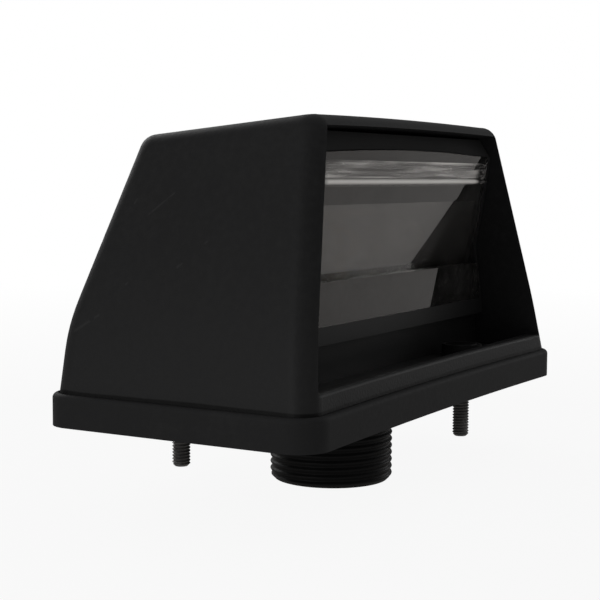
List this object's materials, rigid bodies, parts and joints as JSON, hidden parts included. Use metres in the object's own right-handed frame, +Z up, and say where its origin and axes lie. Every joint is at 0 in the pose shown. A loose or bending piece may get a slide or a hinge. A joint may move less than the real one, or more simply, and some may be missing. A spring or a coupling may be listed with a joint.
{
  "type": "number plate lamp",
  "caption": "Hooded lamp that lights a number plate: tapered black shell over a leaning clear window, on a rubber pad with mounting studs and a threaded cable spigot below.",
  "frame": {"origin": "centre of the pad's underside, midway between the two mounting studs", "axes": "+X along the lamp's long side, -Y the way the lit window faces, +Z up from the surface that the lamp is bolted to"},
  "size_m": [0.13, 0.0643, 0.0823],
  "materials": {
    "pad_rubber": "matt black moulded rubber",
    "hood_plastic": "black, fine moulded grain",
    "body_plastic": "black, satin",
    "lens_clear": "clear, smooth",
    "seal_rubber": "matt black",
    "carrier_board": "brown insulating board",
    "contact_brass": "plain rolled strip",
    "screw_steel": "zinc plated",
    "bulb_glass": "clear",
    "cap_nickel": "nickel plated",
    "filament_wire": "drawn wire",
    "stud_steel": "blackened"
  },
  "bodies": {
    "root": {"base_pad": "pad_rubber", "hood": "hood_plastic", "body": "body_plastic", "spigot": "body_plastic", "lens": "lens_clear", "lens_seal": "seal_rubber", "contact_carrier": "carrier_board", "earth_bar": "contact_brass", "left_contact": "contact_brass", "right_contact": "contact_brass", "centre_contact": "contact_brass", "contact_rivets": "contact_brass", "carrier_screws": "screw_steel", "left_bulb_glass": "bulb_glass", "right_bulb_glass": "bulb_glass", "left_bulb_caps": "cap_nickel", "right_bulb_caps": "cap_nickel", "left_bulb_filament": "filament_wire", "right_bulb_filament": "filament_wire", "mounting_studs": "stud_steel", "hood_screws": "screw_steel"}
  },
  "joints": []
}
